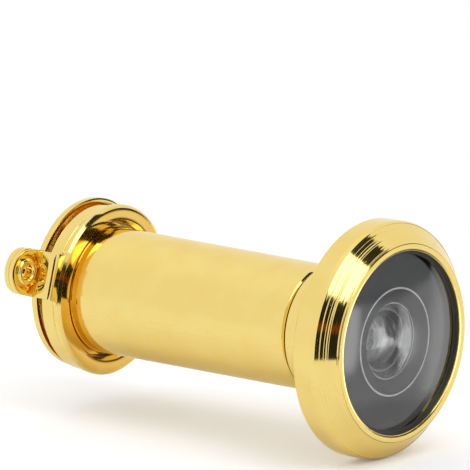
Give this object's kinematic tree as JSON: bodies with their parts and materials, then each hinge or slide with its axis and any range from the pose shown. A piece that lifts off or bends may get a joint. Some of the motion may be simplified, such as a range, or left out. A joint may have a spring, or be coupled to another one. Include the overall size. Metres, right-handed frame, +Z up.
{
  "type": "door viewer",
  "caption": "Wide-angle door viewer: domed front lens in a bevelled round bezel, screw-on sleeve and a disc cover swinging on a riveted lug.",
  "frame": {"origin": "on the barrel's axis, in the plane where the bezel seats on the outdoor face of the door", "axes": "+Y along the barrel from outdoors to indoors, +Z up, the cover's lug 18 degrees above -X"},
  "size_m": [0.0269, 0.0447, 0.026],
  "materials": {
    "gold_plate": "polished gold plating with fine turning marks",
    "turned_brass": "plain turned brass",
    "lens_glass": "polished optical glass",
    "black_plastic": "matt black moulded plastic",
    "blackened_metal": "matt black coated metal",
    "seal_rubber": "black rubber",
    "spring_steel": "plain spring steel"
  },
  "bodies": {
    "outdoor_unit": {"bezel": "gold_plate", "front_ring": "gold_plate", "lens_seal": "seal_rubber", "objective_lens": "lens_glass", "lens_holder": "black_plastic", "second_lens": "lens_glass", "lens_spacer": "black_plastic", "third_lens": "lens_glass", "aperture_ring": "blackened_metal", "lens_retaining_ring": "blackened_metal", "threaded_barrel": "turned_brass"},
    "carrier": {"carrier_ring": "gold_plate", "cover_rivet": "gold_plate", "rivet_washer": "spring_steel"},
    "indoor_sleeve": {"sleeve": "gold_plate", "slip_washer": "gold_plate", "eyepiece_seat": "black_plastic", "eyepiece_lens": "lens_glass", "eyepiece_ring": "turned_brass"},
    "cover": {"cover_disc": "gold_plate"}
  },
  "joints": [
    {"name": "door_thickness", "type": "slide", "parent": "outdoor_unit", "child": "carrier", "axis": [0, 1, 0], "range_m": [0, 0.0248]},
    {"name": "sleeve_screw", "type": "hinge", "parent": "carrier", "child": "indoor_sleeve", "pos_m": [0, 0.036, 0], "axis": [0, 1, 0], "range_deg": [0, 11910]},
    {"name": "cover_swing", "type": "hinge", "parent": "carrier", "child": "cover", "pos_m": [-0.01137, 0.0385, 0.00369], "axis": [0, 1, 0], "continuous": true}
  ],
  "couplings": [
    {"joint": "sleeve_screw", "follows": "door_thickness", "rad_per_m": 8377.6}
  ]
}
